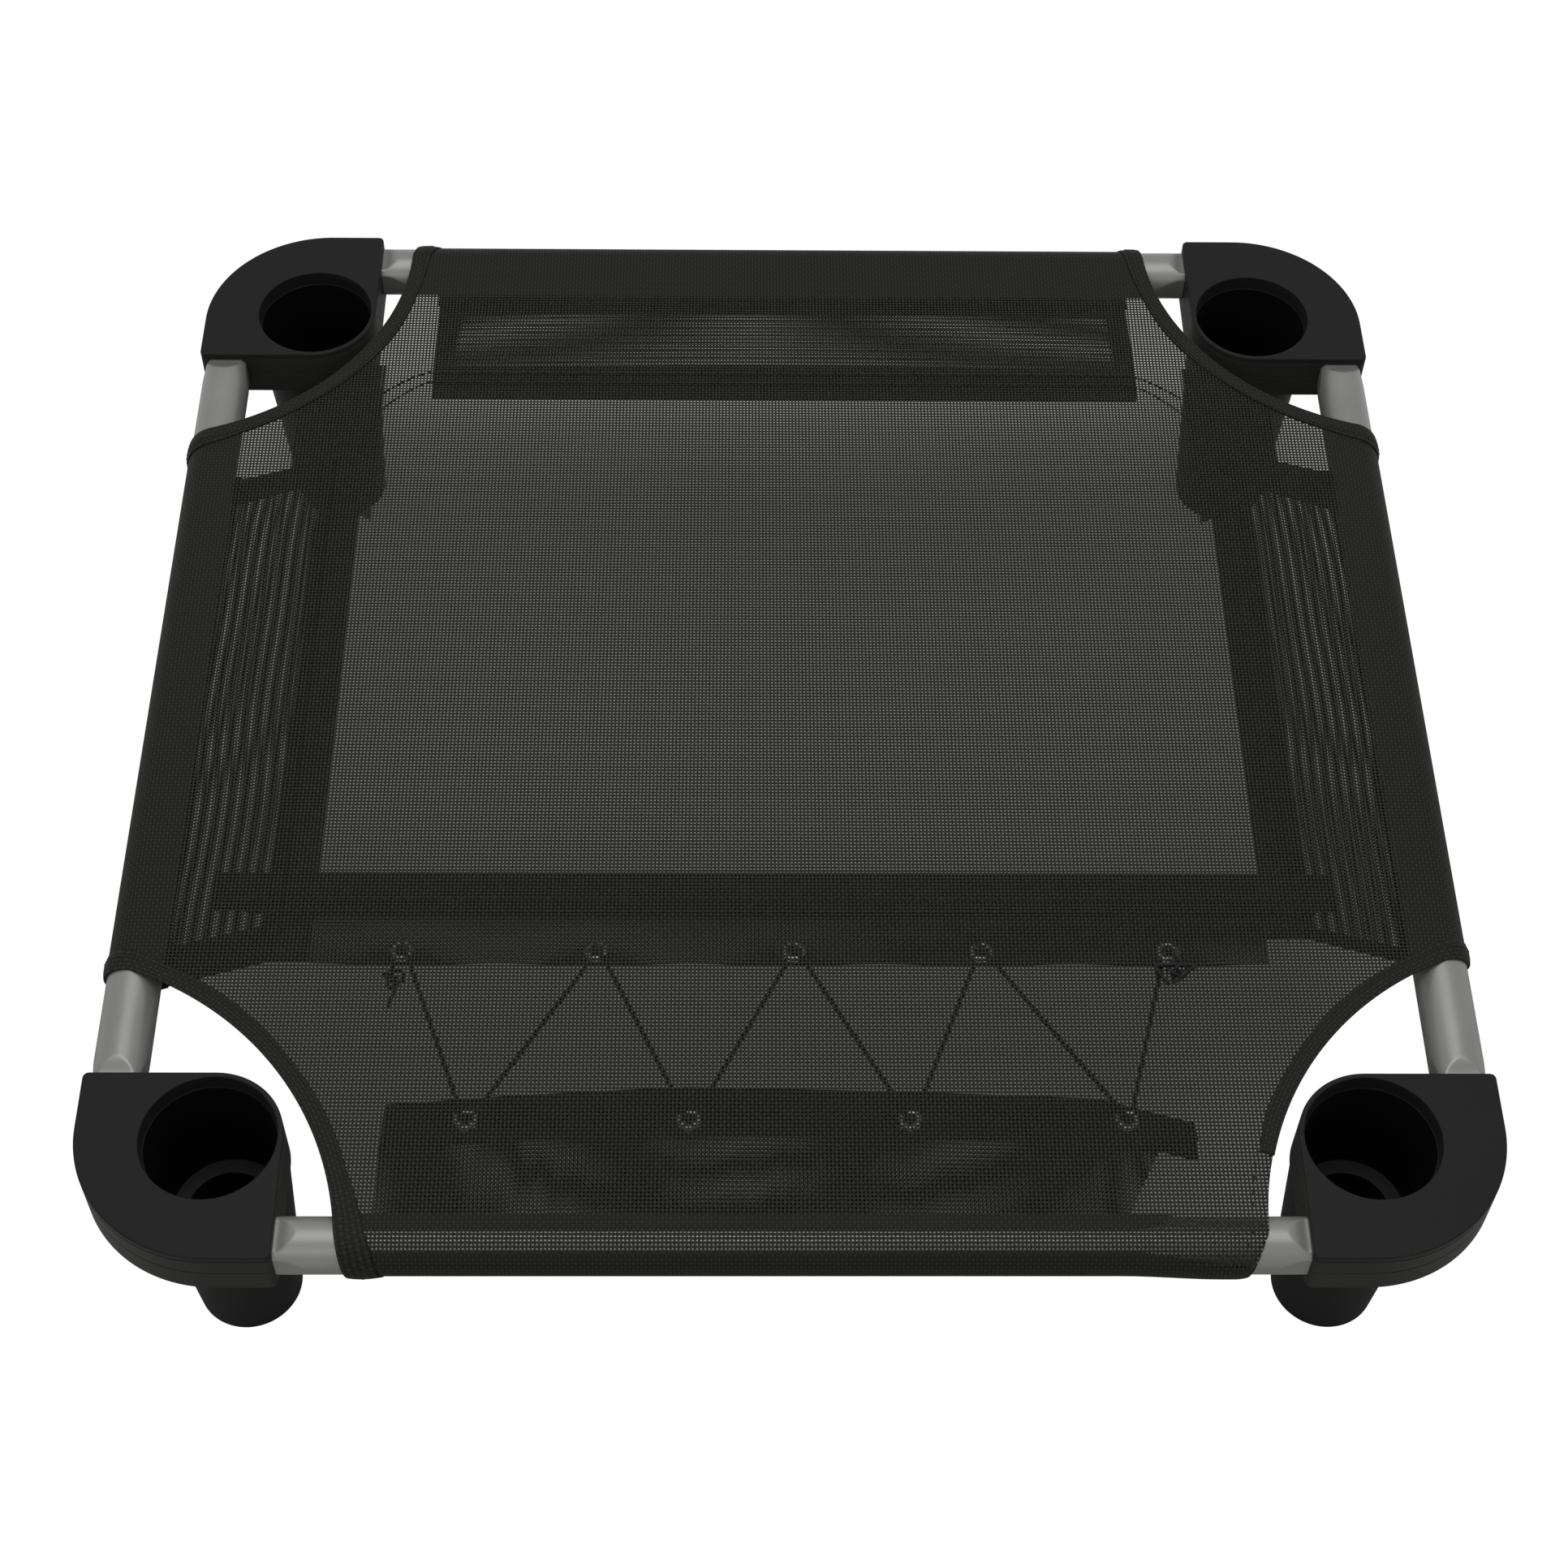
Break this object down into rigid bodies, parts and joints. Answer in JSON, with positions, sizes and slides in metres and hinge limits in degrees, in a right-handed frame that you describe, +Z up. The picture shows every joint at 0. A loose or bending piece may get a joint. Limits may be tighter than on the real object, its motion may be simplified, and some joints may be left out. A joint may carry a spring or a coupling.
{
  "type": "dog training cot",
  "caption": "Low square raised cot: a black mesh cover laced over four grey tubes that plug into moulded corner legs with stacking cups.",
  "frame": {"origin": "on the floor under the middle of the cot", "axes": "+X to the right, +Y away from the laced front edge, +Z up"},
  "size_m": [0.7982, 0.7981, 0.1779],
  "materials": {
    "leg_plastic": "fine satin moulded black",
    "tube_steel": "satin grey coating",
    "mesh_fabric": "open woven coated yarn, black",
    "binding_tape": "folded black edge, close weave",
    "grommet_metal": "nickel plated, lightly dulled",
    "lacing_cord": "twisted black cord"
  },
  "bodies": {
    "root": {"front_left_leg": "leg_plastic", "front_right_leg": "leg_plastic", "back_left_leg": "leg_plastic", "back_right_leg": "leg_plastic", "front_tube": "tube_steel", "back_tube": "tube_steel", "left_tube": "tube_steel", "right_tube": "tube_steel", "mesh_cover": "mesh_fabric", "front_left_edge_binding": "binding_tape", "front_right_edge_binding": "binding_tape", "back_left_edge_binding": "binding_tape", "back_right_edge_binding": "binding_tape", "back_left_corner_patch": "mesh_fabric", "back_right_corner_patch": "mesh_fabric", "lacing_band": "mesh_fabric", "band_grommet_1": "grommet_metal", "band_grommet_2": "grommet_metal", "band_grommet_3": "grommet_metal", "band_grommet_4": "grommet_metal", "band_grommet_5": "grommet_metal", "flap_grommet_1": "grommet_metal", "flap_grommet_2": "grommet_metal", "flap_grommet_3": "grommet_metal", "flap_grommet_4": "grommet_metal", "lacing_cord": "lacing_cord", "left_cord_knot": "lacing_cord", "right_cord_knot": "lacing_cord"}
  },
  "joints": []
}
